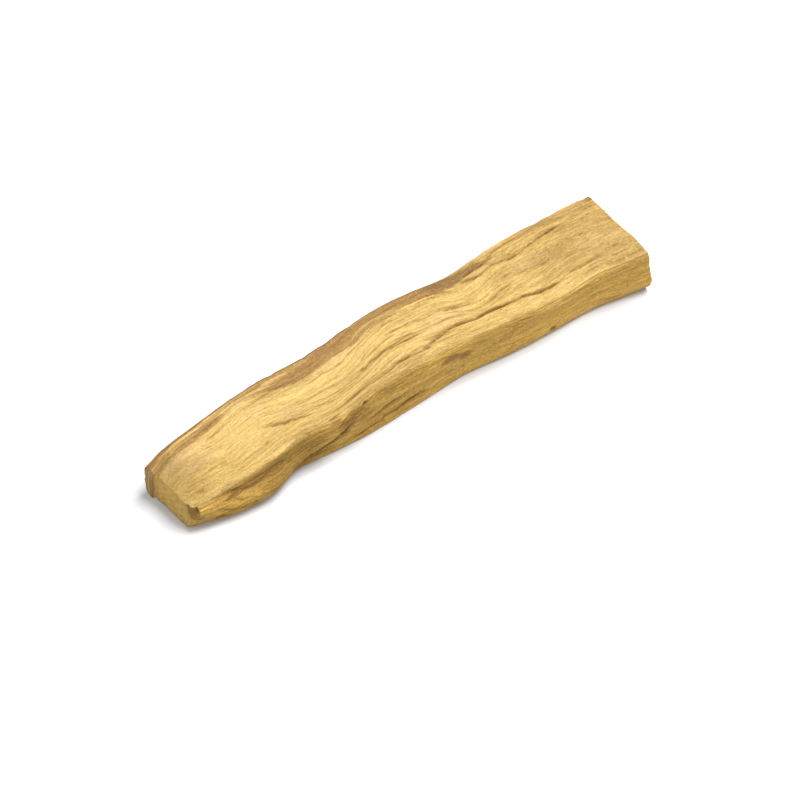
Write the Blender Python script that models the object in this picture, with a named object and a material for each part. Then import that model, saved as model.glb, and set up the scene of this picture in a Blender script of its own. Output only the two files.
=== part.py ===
"""A palo santo stick: one hand-split length of fragrant wood, sawn across at both ends.

Metres, +Z up. X runs along the grain, from the thin end to the thick end. +Y is towards the
edge with the dark heartwood. The stick lies on its flat underside at z = 0, and the origin is
under the middle of its box. The sizes below are in millimetres.
"""

import bmesh
import bpy
from mathutils import Vector, noise

MM = 0.001

# The saw cuts across the ends: where each meets the middle line of the underside, and how far it slants
# per mm of y and of z.
THIN_END = -49.25
THIN_END_SLANT = Vector((-0.10, 0.05))
THICK_END = 49.2
THICK_END_SLANT = Vector((0.02, 0.0))

# The saw stopped short of the thin end's back edge, where a strip of this share tore off and stands proud.
TORN_STRIP = 0.16
TORN_STRIP_PROUD = 0.40

# The four arrises that the split faces meet in, as (x, y) in plan. Each line is a smooth curve.
BACK_EDGE = (
    (-50, 5.1), (-46, 6.5), (-38, 7.4), (-24, 8.6), (-16, 8.0), (0, 9.0),
    (14, 8.4), (29, 9.3), (42, 8.8), (50, 8.1),
)
FRONT_EDGE = (
    (-50, -5.5), (-42, -6.4), (-32, -6.7), (-26, -5.8), (-20, -6.3), (-10, -5.6),
    (6, -5.9), (20, -7.1), (30, -7.7), (38, -7.5), (44, -8.7), (50, -9.8),
)
FOOT = (
    (-50, -5.4), (-44, -7.0), (-38, -8.2), (-33, -8.1), (-28, -6.4), (-20, -6.9), (-12, -7.4),
    (0, -7.0), (9, -6.6), (20, -7.8), (37, -8.3), (44, -9.3), (50, -10.3),
)
HEEL = ((-50, 4.4), (-42, 5.9), (-30, 7.9), (-12, 6.9), (4, 8.4), (20, 7.4), (34, 8.8), (50, 8.0))

# Heights of the two upper arrises, as (x, z).
BACK_HEIGHT = ((-50, 7.2), (-34, 8.2), (-18, 9.0), (0, 9.5), (18, 9.0), (36, 9.2), (50, 9.6))
FRONT_HEIGHT = (
    (-50, 4.9), (-44, 5.4), (-36, 7.1), (-28, 8.1), (-18, 8.4), (-5, 9.5),
    (14, 9.1), (31, 8.3), (44, 9.1), (50, 9.5),
)

# How far the middle of each split face swells out between its arrises. The arrises are rounded over
# this distance, and drawn in by this share of it.
CROWN = {"top": 0.35, "front": 0.35, "under": 0.0, "back": 0.5}
ARRIS_ROUND = 0.9
ARRIS_DRAWN_IN = 0.25

# The wave that the fibres of each face share, as (x, distance across the face from its first arris).
GRAIN_WAVE = {
    "top": ((-50, 0.0), (-36, 0.6), (-19, 3.6), (-10, 3.4), (3, 1.2), (12, 0.2), (24, 0.7), (36, 2.2), (50, 1.8)),
    "front": ((-50, 0.0), (-36, 1.0), (-27, 0.8), (-9, -2.6), (6, -2.2), (20, -3.0), (50, -3.4)),
    "under": ((-50, 0.0), (-14, 2.2), (16, 0.4), (50, 1.8)),
    "back": ((-50, 0.0), (-20, 1.2), (10, -0.6), (50, 0.8)),
}

# The relief of the torn fibres, from broad waves to strands: length along the grain, width across it,
# and height.
STRANDS = ((20.0, 7.0, 0.45), (40.0, 3.0, 0.60), (24.0, 1.7, 0.36))

# The underside's strands are pressed flat where they would stand higher than this.
UNDERSIDE_LEVEL = -0.12

# Long splits along the grain: the face, (x, share of the way across it) points, depth and half width.
SPLITS = (
    ("top", ((1, 0.83), (7, 0.77), (12, 0.74), (22, 0.76), (32, 0.85), (37, 0.88)), 1.30, 0.55),
    ("top", ((11, 0.10), (20, 0.12), (27, 0.17), (35, 0.22), (42, 0.29)), 1.10, 0.60),
    ("top", ((-36, 0.57), (-28, 0.64), (-20, 0.78), (-14, 0.88), (-8, 0.92)), 1.00, 0.60),
    ("top", ((-11, 0.68), (-6, 0.59), (-1, 0.55), (5, 0.57)), 0.80, 0.55),
    ("top", ((12, 0.45), (20, 0.50), (28, 0.56), (36, 0.55)), 0.55, 0.55),
    ("top", ((29, 0.72), (37, 0.77), (44, 0.73)), 0.70, 0.55),
    ("top", ((-47, 0.20), (-38, 0.24), (-27, 0.27), (-16, 0.25), (-8, 0.27)), 0.55, 0.70),
    ("front", ((-27, 0.75), (-20, 0.62), (-14, 0.40), (-9, 0.22)), 0.90, 0.85),
    ("front", ((-12, 0.76), (-4, 0.78), (6, 0.80)), 0.80, 0.80),
    ("front", ((-47, 0.34), (-40, 0.38), (-34, 0.42), (-28, 0.46), (-24, 0.34)), 1.10, 0.90),
    ("front", ((12, 0.26), (20, 0.22), (30, 0.20), (36, 0.12)), 0.60, 0.70),
    ("back", ((-40, 0.40), (-20, 0.48), (-4, 0.40), (8, 0.46)), 0.90, 0.70),
    ("back", ((-2, 0.70), (14, 0.62), (30, 0.70), (44, 0.60)), 0.90, 0.70),
    ("under", ((-38, 0.32), (-20, 0.40), (-6, 0.34)), 0.70, 0.70),
    ("under", ((8, 0.66), (20, 0.60), (40, 0.68)), 0.70, 0.70),
)
SPLIT_FADE = 4.0

# Lumps that stand out of a split face: the face, x, share across, height, half length and half width.
LUMPS = (
    ("front", -37.0, 0.74, 0.80, 7.5, 1.6),
    ("front", -16.5, 0.20, 0.35, 5.0, 1.6),
    ("front", 50.0, 0.78, 0.45, 2.5, 1.4),
    ("top", -3.0, 0.78, 0.45, 8.0, 1.3),
    ("top", 24.0, 0.08, 0.45, 9.0, 1.0),
    ("top", 30.0, 0.36, 0.35, 9.0, 1.2),
    ("back", -28.0, 0.75, 0.60, 9.0, 2.0),
    ("back", 24.0, 0.30, 0.50, 10.0, 2.0),
)

# Corners broken off at the ends: which end, share across, share up, how deep and how wide.
CHIPS = (
    ("thin", 1.0, 0.9, 0.80, 1.2),
    ("thin", 1.0, 0.3, 0.40, 1.2),
    ("thick", 1.0, 1.0, 0.40, 1.2),
    ("thick", 1.0, 0.55, 0.40, 0.9),
    ("thick", 1.0, 0.0, 0.30, 1.0),
)

# Faces of the mesh along the stick, across it and up it. A chip reaches this many faces back.
ALONG = 64
ACROSS = 22
UP = 10
CHIP_FACES = 1

WOOD_COLOUR = (0.62, 0.40, 0.15, 1.0)
WOOD_ROUGHNESS = 0.62


def line_at(points, x):
    """The smooth curve through (x, value) points, read at x and held level past its ends."""
    if x <= points[0][0]:
        return points[0][1]
    if x >= points[-1][0]:
        return points[-1][1]
    i = max(n for n in range(len(points) - 1) if points[n][0] <= x)
    (x0, low), (x1, high) = points[i], points[i + 1]

    def slope(n):
        before, after = points[max(n - 1, 0)], points[min(n + 1, len(points) - 1)]
        return (after[1] - before[1]) / (after[0] - before[0])

    span = x1 - x0
    t = (x - x0) / span
    rise = t * t * (3 - 2 * t)
    return (
        low * (1 - rise)
        + high * rise
        + slope(i) * span * t * (1 - t) ** 2
        - slope(i + 1) * span * t * t * (1 - t)
    )


def bump(distance, reach):
    """1 at no distance, falling smoothly to 0 at the reach."""
    near = max(0.0, 1 - (distance / reach) ** 2)
    return near * near


def arrises(x):
    """The four corners of the section at x, as (y, z)."""
    return {
        "heel": Vector((line_at(HEEL, x), 0.0)),
        "foot": Vector((line_at(FOOT, x), 0.0)),
        "front": Vector((line_at(FRONT_EDGE, x), line_at(FRONT_HEIGHT, x))),
        "back": Vector((line_at(BACK_EDGE, x), line_at(BACK_HEIGHT, x))),
    }


# Each face of the section runs between two arrises. The share across it counts from the first.
SIDES = {
    "top": ("back", "front"),
    "front": ("front", "foot"),
    "under": ("heel", "foot"),
    "back": ("back", "heel"),
}
OUTWARD = {"top": (0, 1), "front": (-1, 0), "under": (0, -1), "back": (1, 0)}


def strand_relief(side, x, across):
    """Height of the torn fibres at x, where across is in millimetres along the section."""
    face = 40.0 * list(SIDES).index(side)
    along_grain = across - line_at(GRAIN_WAVE[side], x)
    height = 0.0
    for length, width, rise in STRANDS:
        height += rise * noise.noise((x / length, along_grain / width, face + width))
    return height


def split_relief(side, x, share, width):
    """How deep the splits of this face cut at x, at a share of the way across its width."""
    deepest = 0.0
    for face, path, depth, half_width in SPLITS:
        start, end = path[0][0], path[-1][0]
        if face != side or not start - SPLIT_FADE < x < end + SPLIT_FADE:
            continue
        past = max(start - x, x - end, 0.0)
        off = abs(share - line_at(path, x)) * width
        deepest = max(deepest, depth * bump(past, SPLIT_FADE) * bump(off, 2 * half_width))
    return deepest


def lump_relief(side, x, share, width):
    """How far the lumps of this face stand out."""
    rise = 0.0
    for face, middle, across, height, half_length, half_width in LUMPS:
        if face == side:
            off = abs(share - across) * width
            rise += height * bump(x - middle, 2 * half_length) * bump(off, 2 * half_width)
    return rise


def relief(side, x, share, width):
    """How far the split face stands out of its smooth form, in millimetres.

    It fades at the arrises, which are drawn in. The underside only has hollows, so that its high
    places lie flat.
    """
    off_arris = min(share, 1 - share) * width
    eased = min(1.0, off_arris / ARRIS_ROUND)
    raised = strand_relief(side, x, share * width)
    cut = split_relief(side, x, share, width)
    if side == "under":
        raised = min(0.0, raised - UNDERSIDE_LEVEL)
    else:
        raised += CROWN[side] * 4 * share * (1 - share) + lump_relief(side, x, share, width)
    return (raised - cut) * eased - ARRIS_DRAWN_IN * ARRIS_ROUND * (1 - eased) ** 2


def section_point(x, across, up):
    """(y, z) of a point of the section at x, from its shares across (0 at the back) and up.

    The four arrises are joined by straight sides. Each side's relief fades inwards from it over a
    quarter of the section, which carries it smoothly onto the sawn ends.
    """
    corner = arrises(x)
    low = corner["heel"].lerp(corner["foot"], across)
    high = corner["back"].lerp(corner["front"], across)
    point = low.lerp(high, up)
    places = {
        "top": (across, up),
        "front": (1 - up, across),
        "under": (across, 1 - up),
        "back": (1 - up, 1 - across),
    }
    for side, (share, nearness) in places.items():
        fade = 1 - 4 * (1 - nearness)
        if fade > 0:
            first, last = SIDES[side]
            width = (corner[last] - corner[first]).length
            point += Vector(OUTWARD[side]) * relief(side, x, share, width) * fade
    return point


def end_depth(end, across, up):
    """How far the wood of this end lies back from the saw cut, at shares across and up."""
    corner = arrises(THIN_END if end == "thin" else THICK_END)
    point = section_point(THIN_END if end == "thin" else THICK_END, across, up)
    depth = 0.0
    for face, chip_across, chip_up, deep, wide in CHIPS:
        if face == end:
            low = corner["heel"].lerp(corner["foot"], chip_across)
            middle = low.lerp(corner["back"].lerp(corner["front"], chip_across), chip_up)
            depth = max(depth, deep * bump((point - middle).length, 2 * wide))
    if end == "thin" and across < TORN_STRIP:
        depth -= TORN_STRIP_PROUD
    return depth


def wood_point(u, across, up):
    """A point of the stick in metres, from its shares along, across and up."""
    thin = THIN_END + THIN_END_SLANT.dot(section_point(THIN_END, across, up))
    thick = THICK_END + THICK_END_SLANT.dot(section_point(THICK_END, across, up))
    x = thin + (thick - thin) * u
    point = section_point(x, across, up)
    x += end_depth("thin", across, up) * max(0.0, 1 - u * ALONG / CHIP_FACES)
    x -= end_depth("thick", across, up) * max(0.0, 1 - (1 - u) * ALONG / CHIP_FACES)
    return Vector((x, point.x, point.y)) * MM


def cut_edges(bm, direction, pieces):
    """Cuts every edge that runs along this direction of the blank into equal pieces."""
    edges = [e for e in bm.edges if abs((e.verts[1].co - e.verts[0].co).normalized().dot(direction)) > 0.9]
    bmesh.ops.subdivide_edges(bm, edges=edges, cuts=pieces - 1, use_grid_fill=True)


def centre_on_base(bm):
    """Moves the mesh so that the origin is under the middle of its box."""
    low = Vector(min(v.co[i] for v in bm.verts) for i in range(3))
    high = Vector(max(v.co[i] for v in bm.verts) for i in range(3))
    middle = (low + high) / 2
    bmesh.ops.translate(bm, verts=bm.verts, vec=(-middle.x, -middle.y, -low.z))


def split_stick():
    """The stick's closed mesh: a unit block cut into a grid, whose points are moved to the wood's form."""
    bm = bmesh.new()
    bmesh.ops.create_cube(bm, size=1.0)
    cut_edges(bm, Vector((1, 0, 0)), ALONG)
    cut_edges(bm, Vector((0, 1, 0)), ACROSS)
    cut_edges(bm, Vector((0, 0, 1)), UP)
    for vertex in bm.verts:
        block = vertex.co
        vertex.co = wood_point(block.x + 0.5, 0.5 - block.y, block.z + 0.5)
    centre_on_base(bm)
    bmesh.ops.recalc_face_normals(bm, faces=bm.faces)
    mesh = bpy.data.meshes.new("stick")
    bm.to_mesh(mesh)
    bm.free()
    mesh.shade_smooth()
    return mesh


def wood():
    """Pale golden palo santo, dry and unpolished."""
    material = bpy.data.materials.new("palo_santo")
    material.use_nodes = True
    shader = material.node_tree.nodes["Principled BSDF"]
    shader.inputs["Base Color"].default_value = WOOD_COLOUR
    shader.inputs["Roughness"].default_value = WOOD_ROUGHNESS
    shader.inputs["Metallic"].default_value = 0.0
    return material


def main():
    for obj in list(bpy.data.objects):
        bpy.data.objects.remove(obj)
    stick = bpy.data.objects.new("stick", split_stick())
    stick.data.materials.append(wood())
    bpy.context.scene.collection.objects.link(stick)


main()
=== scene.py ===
"""The looks of a palo santo stick: one hand-split length of fragrant wood, sawn across at both ends.

The file is laid out as a Blender add-on and run as a script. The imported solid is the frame, and
one finely torn mesh of the same wood stands in its place. The wood's own lines are written in
millimetres, in a frame with X along the grain, and the finished mesh is seated in the solid's box.
"""

import functools
import math

import bmesh
import bpy
from bpy.props import FloatProperty, FloatVectorProperty, IntProperty, PointerProperty
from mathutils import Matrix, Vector, noise


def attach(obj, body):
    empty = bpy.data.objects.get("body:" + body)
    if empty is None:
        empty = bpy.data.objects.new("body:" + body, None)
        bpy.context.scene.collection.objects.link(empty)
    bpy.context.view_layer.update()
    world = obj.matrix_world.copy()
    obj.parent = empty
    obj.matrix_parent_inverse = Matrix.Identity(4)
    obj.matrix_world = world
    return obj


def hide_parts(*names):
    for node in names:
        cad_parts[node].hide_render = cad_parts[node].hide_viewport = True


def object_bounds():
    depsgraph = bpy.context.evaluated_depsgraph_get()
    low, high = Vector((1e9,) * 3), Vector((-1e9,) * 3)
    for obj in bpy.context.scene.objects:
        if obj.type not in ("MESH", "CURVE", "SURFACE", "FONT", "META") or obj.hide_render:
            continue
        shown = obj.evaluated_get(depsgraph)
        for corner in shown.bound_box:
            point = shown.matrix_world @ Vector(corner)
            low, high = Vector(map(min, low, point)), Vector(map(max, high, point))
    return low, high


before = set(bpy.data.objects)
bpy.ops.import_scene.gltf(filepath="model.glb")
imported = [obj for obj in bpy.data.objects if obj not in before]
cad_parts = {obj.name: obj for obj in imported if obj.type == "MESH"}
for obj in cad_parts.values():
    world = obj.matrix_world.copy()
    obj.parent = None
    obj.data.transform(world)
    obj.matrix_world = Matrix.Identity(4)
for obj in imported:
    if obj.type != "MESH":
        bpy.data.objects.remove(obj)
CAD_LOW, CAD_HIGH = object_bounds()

bl_info = {
    "name": "Palo Santo Stick",
    "version": (1, 0, 0),
    "blender": (4, 5, 0),
    "location": "3D View > Sidebar > Palo Santo",
    "description": "Models a hand-split palo santo stick with torn grain, sawn ends and dark heartwood",
    "category": "Add Mesh",
}

MM = 0.001

# The saw cuts across the ends: where each meets the middle line of the underside, and how far it slants
# per mm of y and of z.
THIN_END = -49.85
THIN_END_SLANT = Vector((-0.10, 0.15))
THICK_END = 49.4
THICK_END_SLANT = Vector((0.02, -0.035))

# The thin end's cut leans out, so that its toe stands this far beyond the plain solid's end.
TOE = 0.5

# The saw stopped short of the thin end's back edge, where a strip of this share tore off and stands proud,
# with a step this wide beside it and splinters this long. The strip's edge wavers by this share.
TORN_STRIP = 0.18
TORN_STRIP_PROUD = 0.40
TORN_STEP = 0.03
SPLINTERS = 0.14
STRIP_WAVER = 0.02

# The four arrises that the split faces meet in, as (x, y) in plan. Each line is a smooth curve.
BACK_EDGE = (
    (-50, 5.1), (-46, 6.5), (-38, 7.4), (-30, 8.45), (-24, 8.55), (-16, 8.0), (0, 9.0),
    (8, 8.6), (15, 7.9), (22, 8.5), (29, 9.2), (42, 8.7), (50, 8.1),
)
FRONT_EDGE = (
    (-50, -5.5), (-42, -6.4), (-32, -6.7), (-26, -5.8), (-20, -6.3), (-10, -5.6),
    (6, -5.9), (20, -7.1), (30, -7.7), (38, -7.5), (44, -8.7), (50, -9.8),
)
FOOT = (
    (-50, -5.3), (-44, -7.3), (-38, -8.3), (-33, -8.1), (-28, -6.4), (-20, -6.9), (-12, -7.4),
    (0, -7.0), (9, -6.6), (20, -7.8), (37, -8.3), (44, -9.3), (50, -10.3),
)
HEEL = ((-50, 5.2), (-46, 5.8), (-42, 6.1), (-30, 7.9), (-12, 6.9), (4, 8.4), (20, 7.4), (34, 8.8), (50, 8.0))

# Heights of the two upper arrises, as (x, z).
BACK_HEIGHT = ((-50, 6.7), (-44, 7.4), (-34, 8.2), (-18, 9.0), (0, 9.5), (18, 9.0), (36, 9.2), (50, 9.6))
FRONT_HEIGHT = (
    (-50, 4.9), (-44, 5.4), (-36, 7.1), (-28, 8.1), (-18, 8.4), (-5, 9.5),
    (14, 9.1), (31, 8.3), (44, 9.1), (50, 9.5),
)

# How far the middle of each split face swells out between its arrises.
CROWN = {"top": 0.35, "front": 0.35, "under": 0.0, "back": 0.5}

# The distance over which each arris is rounded, along the stick, and the share of it by which it is
# drawn in. Small nicks are splintered out of the arrises: how long and deep, how steeply each one starts,
# and how much of the arris between them stays whole.
ARRIS_ROUND = {
    "front": ((-50, 0.60), (-34, 0.80), (-16, 0.80), (-6, 1.40), (12, 1.30), (22, 0.60), (50, 0.40)),
    "back": ((-50, 0.70), (50, 0.60)),
    "foot": ((-50, 0.60), (50, 0.50)),
    "heel": ((-50, 0.70), (50, 0.70)),
}
ARRIS_DRAWN_IN = 0.22
NICK_LENGTH = 2.4
NICK_DEPTH = 0.09
NICK_STEEPNESS = 2.2
NICK_GAP = 0.2

# Each face of the section runs between two arrises. The share across it counts from the first.
SIDES = {
    "top": ("back", "front"),
    "front": ("front", "foot"),
    "under": ("foot", "heel"),
    "back": ("heel", "back"),
}
OUTWARD = {"top": (0, 1), "front": (-1, 0), "under": (0, -1), "back": (1, 0)}

# The way round the section in the wood's own measure: where each face starts, and its width.
GIRTH_START = {"top": 0.0, "front": 15.0, "under": 24.5, "back": 39.5}
GIRTH_WIDTH = {"top": 15.0, "front": 9.5, "under": 15.0, "back": 9.5}
GIRTH = 49.0

# The wave that the fibres of each face share, as (x, distance across the middle of the face).
GRAIN_WAVE = {
    "top": (
        (-50, 0.0), (-42, 0.0), (-38, 0.8), (-33, 0.5), (-30, 0.4), (-26, 1.5), (-20, 2.4), (-12, 2.3),
        (-8, 1.5), (-4, 0.2), (0, -0.4), (6, -0.1), (10, 0.0), (16, 0.9), (25, 0.2), (32, 0.0),
        (40, -0.5), (50, -0.8),
    ),
    "front": ((-50, -0.6), (-36, 0.6), (-27, 0.4), (-9, -0.9), (6, -0.4), (20, -1.0), (50, -0.8)),
    "under": ((-50, 0.0), (-14, 1.6), (16, 0.4), (50, 1.2)),
    "back": ((-50, 0.0), (-20, 0.8), (10, -0.5), (50, 0.6)),
}

# The fibres of a face also wander by themselves: length along the grain, width across it, and how far.
WANDER = ((8.0, 3.5, 0.9), (2.6, 1.4, 0.22))

# The relief of the torn fibres. Swells are smooth, strands are rounded with sharp grooves between
# them: length along the grain, width across it, and height.
SWELLS = ((20.0, 7.0, 0.22), (40.0, 3.0, 0.22))
STRANDS = ((44.0, 2.2, 0.26), (26.0, 1.05, 0.22), (14.0, 0.55, 0.17))

# How steeply a strand rises out of its groove, and the level in it that stays at the face's own height.
STRAND_RISE = 3.2
STRAND_LEVEL = 0.75

# The share of the torn relief that is left at an arris.
ARRIS_RELIEF = 0.55

# How rough the torn faces are, along the stick.
TORN_ALONG = ((-50, 0.60), (-36, 0.70), (-24, 1.00), (-12, 1.35), (8, 1.40), (26, 1.10), (50, 0.90))

# Layers that tore off and left ledges along the grain: how many, their length and width, the height of
# one ledge and the share of a layer that its slope takes. Their lines are frayed: length, width and share.
LEDGES = 6.0
LEDGE_LENGTH = 48.0
LEDGE_WIDTH = 4.0
LEDGE_HEIGHT = 0.11
LEDGE_SLOPE = 0.14
LEDGE_FRAY = (6.0, 1.2, 0.08)

# Slivers that rise slowly along the grain and break off short: lane width, length and height. Their lanes
# bend: length, width and how far.
SLIVER_LANE = 0.8
SLIVER_LENGTH = 12.0
SLIVER_HEIGHT = 0.13
SLIVER_BEND = (15.0, 1.6, 0.8)

# The underside's strands are pressed flat where they would stand higher than this.
UNDERSIDE_LEVEL = -0.12

# Long splits along the grain of each face: depth, half width, how much higher the side towards the face's
# first arris stands, and (x, share of the way across the face) points.
SPLITS = {
    "top": (
        (0.95, 0.26, 0.40, (
            (1.6, 0.89), (3.0, 0.86), (4.5, 0.83), (6.2, 0.795), (8.2, 0.75), (10.0, 0.727), (11.2, 0.736),
            (14.2, 0.766), (15.5, 0.744), (18.0, 0.744), (20.0, 0.766), (24.5, 0.78), (26.5, 0.817),
            (32.5, 0.84),
        )),
        (0.45, 0.34, 0.16, (
            (33.0, 0.835), (35.0, 0.81), (37.5, 0.82), (40.0, 0.81), (42.5, 0.778), (48.7, 0.70),
        )),
        (0.55, 0.26, -0.15, (
            (16.5, 0.19), (20.0, 0.17), (22.0, 0.16), (24.0, 0.13), (27.5, 0.10), (33.0, 0.10),
        )),
        (0.62, 0.26, 0.28, (
            (15.5, 0.21), (18.0, 0.24), (20.7, 0.26), (22.5, 0.235), (24.2, 0.226), (25.7, 0.25),
            (27.5, 0.28), (30.0, 0.28), (31.5, 0.262), (33.7, 0.245), (36.2, 0.225), (41.0, 0.205),
        )),
        (0.26, 0.24, 0.12, ((36.0, 0.30), (39.0, 0.27), (42.0, 0.27), (46.0, 0.24), (48.5, 0.22))),
        (0.26, 0.24, 0.10, ((26.5, 0.40), (29.0, 0.37), (32.0, 0.38), (35.0, 0.35), (38.0, 0.36))),
        (0.26, 0.24, 0.12, ((34.0, 0.66), (37.5, 0.62), (41.0, 0.64), (45.0, 0.60))),
        (0.26, 0.22, 0.10, ((38.0, 0.48), (41.0, 0.44), (44.0, 0.45), (48.0, 0.40))),
        (0.70, 0.26, 0.25, (
            (-31.5, 0.61), (-29.2, 0.64), (-28.2, 0.68), (-26.7, 0.73), (-25.0, 0.75), (-23.5, 0.77),
            (-20.0, 0.79),
        )),
        (0.30, 0.25, 0.10, ((-41.5, 0.65), (-40.2, 0.71), (-37.5, 0.735), (-34.5, 0.71), (-32.5, 0.69))),
        (0.22, 0.22, 0.08, ((-42.0, 0.77), (-40.0, 0.82), (-38.5, 0.82))),
        (0.52, 0.20, 0.20, (
            (-20.0, 0.93), (-10.0, 0.93), (-7.5, 0.926), (-5.0, 0.905), (-3.0, 0.885), (1.0, 0.895),
            (5.0, 0.92),
        )),
        (0.35, 0.20, 0.10, ((-6.0, 0.965), (-2.0, 0.962), (3.0, 0.955))),
        (0.46, 0.18, 0.16, (
            (-10.0, 0.685), (-9.0, 0.683), (-7.5, 0.65), (-5.0, 0.625), (0.0, 0.617), (5.0, 0.63),
        )),
        (0.40, 0.17, 0.14, ((-9.0, 0.62), (-6.2, 0.55), (-2.5, 0.50), (1.0, 0.49))),
        (0.35, 0.20, 0.10, (
            (-8.0, 0.58), (-5.0, 0.52), (-1.5, 0.45), (0.0, 0.44), (6.2, 0.466), (9.5, 0.466),
        )),
        (0.32, 0.16, 0.10, ((-7.0, 0.74), (-4.5, 0.70), (-1.0, 0.68), (2.5, 0.69))),
        (0.34, 0.16, 0.10, ((-6.5, 0.60), (-4.0, 0.565), (-1.0, 0.555), (3.0, 0.57))),
        (0.30, 0.16, 0.10, ((-13.0, 0.80), (-9.0, 0.79), (-5.0, 0.755), (-2.0, 0.75))),
        (0.28, 0.16, 0.08, ((-14.0, 0.62), (-10.5, 0.60), (-8.0, 0.54), (-6.0, 0.49))),
        (0.40, 0.22, 0.16, ((9.5, 0.466), (12.0, 0.49), (14.0, 0.516), (16.0, 0.55))),
        (0.35, 0.20, 0.12, ((15.5, 0.70), (18.7, 0.677), (21.2, 0.635), (23.7, 0.60), (26.0, 0.59))),
        (0.30, 0.20, 0.10, ((17.5, 0.635), (20.5, 0.584), (22.5, 0.554), (25.5, 0.54))),
        (0.25, 0.20, 0.08, ((17.0, 0.55), (21.5, 0.508), (25.0, 0.50), (31.0, 0.49))),
        (0.35, 0.25, 0.14, (
            (-41.0, 0.28), (-36.5, 0.27), (-34.0, 0.25), (-29.2, 0.25), (-25.0, 0.26), (-19.0, 0.27),
        )),
        (0.35, 0.25, 0.10, ((-25.0, 0.20), (-20.0, 0.22), (-14.0, 0.17), (-8.0, 0.13), (-2.0, 0.12))),
        (0.35, 0.30, 0.10, ((-46.0, 0.13), (-40.0, 0.14), (-35.0, 0.13))),
        (0.22, 0.30, 0.06, ((3.0, 0.41), (7.0, 0.42), (11.5, 0.41))),
        (0.20, 0.22, 0.05, ((31.0, 0.45), (35.0, 0.44), (40.0, 0.45))),
        (0.30, 0.22, 0.08, ((44.5, 0.59), (47.0, 0.57), (49.5, 0.56))),
    ),
    "front": (
        (2.40, 0.50, 0.40, (
            (-27.6, 0.78), (-25.0, 0.70), (-22.8, 0.66), (-20.6, 0.57), (-18.6, 0.49), (-17.0, 0.42),
            (-15.2, 0.36),
        )),
        (0.75, 0.28, 0.12, ((-20.0, 0.48), (-18.8, 0.32), (-17.4, 0.17), (-15.8, 0.08), (-13.0, 0.05))),
        (0.40, 0.28, -0.10, ((-16.8, 0.36), (-15.0, 0.34), (-13.6, 0.26), (-12.2, 0.17))),
        (0.55, 0.30, 0.12, (
            (-14.8, 0.49), (-13.2, 0.53), (-11.4, 0.56), (-7.8, 0.52), (-6.0, 0.50), (-3.5, 0.49),
        )),
        (0.80, 0.34, -0.15, (
            (-17.5, 0.93), (-14.4, 0.87), (-12.2, 0.85), (-9.8, 0.85), (-8.8, 0.82), (-6.2, 0.84),
            (-3.8, 0.81), (1.0, 0.79),
        )),
        (0.58, 0.85, 0.20, (
            (-45.0, 0.03), (-43.4, 0.04), (-41.5, 0.07), (-40.5, 0.155), (-39.2, 0.26), (-38.0, 0.357),
            (-36.5, 0.37), (-34.5, 0.317), (-32.5, 0.263), (-31.0, 0.276), (-30.0, 0.344), (-28.7, 0.45),
            (-28.0, 0.52),
        )),
        (0.50, 0.45, 0.12, ((-45.5, 0.38), (-43.7, 0.45), (-41.7, 0.61), (-40.0, 0.67), (-37.0, 0.69))),
        (0.35, 0.35, 0.08, ((-44.4, 0.26), (-42.6, 0.28), (-40.6, 0.41), (-38.6, 0.51), (-36.0, 0.58))),
        (0.30, 0.35, 0.08, ((20.0, 0.09), (22.5, 0.13), (25.0, 0.12))),
        (0.35, 0.55, 0.10, ((29.0, 0.08), (33.0, 0.12), (38.0, 0.17))),
        (0.35, 0.30, 0.12, ((3.5, 0.36), (5.0, 0.30), (7.0, 0.26), (8.5, 0.32), (9.7, 0.42))),
        (0.30, 0.25, 0.05, ((5.0, 0.66), (6.7, 0.65))),
        (0.18, 0.30, 0.05, ((12.0, 0.62), (20.0, 0.66), (27.0, 0.64))),
        (0.18, 0.30, 0.05, ((30.0, 0.48), (38.0, 0.52), (48.0, 0.50))),
    ),
    "under": (
        (0.70, 0.40, 0.0, ((-38, 0.68), (-20, 0.60), (-6, 0.66))),
        (0.70, 0.40, 0.0, ((8, 0.34), (20, 0.40), (40, 0.32))),
        (0.45, 0.30, 0.0, ((-46, 0.30), (-30, 0.36), (-18, 0.30))),
        (0.45, 0.30, 0.0, ((22, 0.74), (34, 0.68), (46, 0.72))),
    ),
    "back": (
        (0.80, 0.35, 0.25, ((-40, 0.60), (-20, 0.52), (-4, 0.60), (8, 0.54))),
        (0.80, 0.35, -0.20, ((-2, 0.30), (14, 0.38), (30, 0.30), (44, 0.40))),
        (0.45, 0.28, 0.12, ((-46, 0.30), (-36, 0.26), (-26, 0.34))),
        (0.45, 0.28, 0.12, ((16, 0.70), (26, 0.66), (38, 0.74))),
    ),
}

# A split opens over this length from its ends, or this share of a short one, as if it began a little
# before them. Its higher side falls away over this width.
SPLIT_TAPER = 3.0
SHORT_TAPER = 0.4
SPLIT_LEAD = 0.3
SPLIT_CREST = 2.2

# The depth of a split is shared between its shoulders, which are this many times as wide, and its crack.
SPLIT_SHOULDER = 0.20
SHOULDER_WIDTH = 4
SPLIT_CRACK = 0.60

# A split's line is ragged, and its depth uneven: length along the grain, and how much.
SPLIT_RAGGED = ((1.3, 0.10), (0.5, 0.06))
SPLIT_UNEVEN = ((3.5, 0.35), (1.1, 0.21))
SPLIT_OPEN = 0.90

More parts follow.
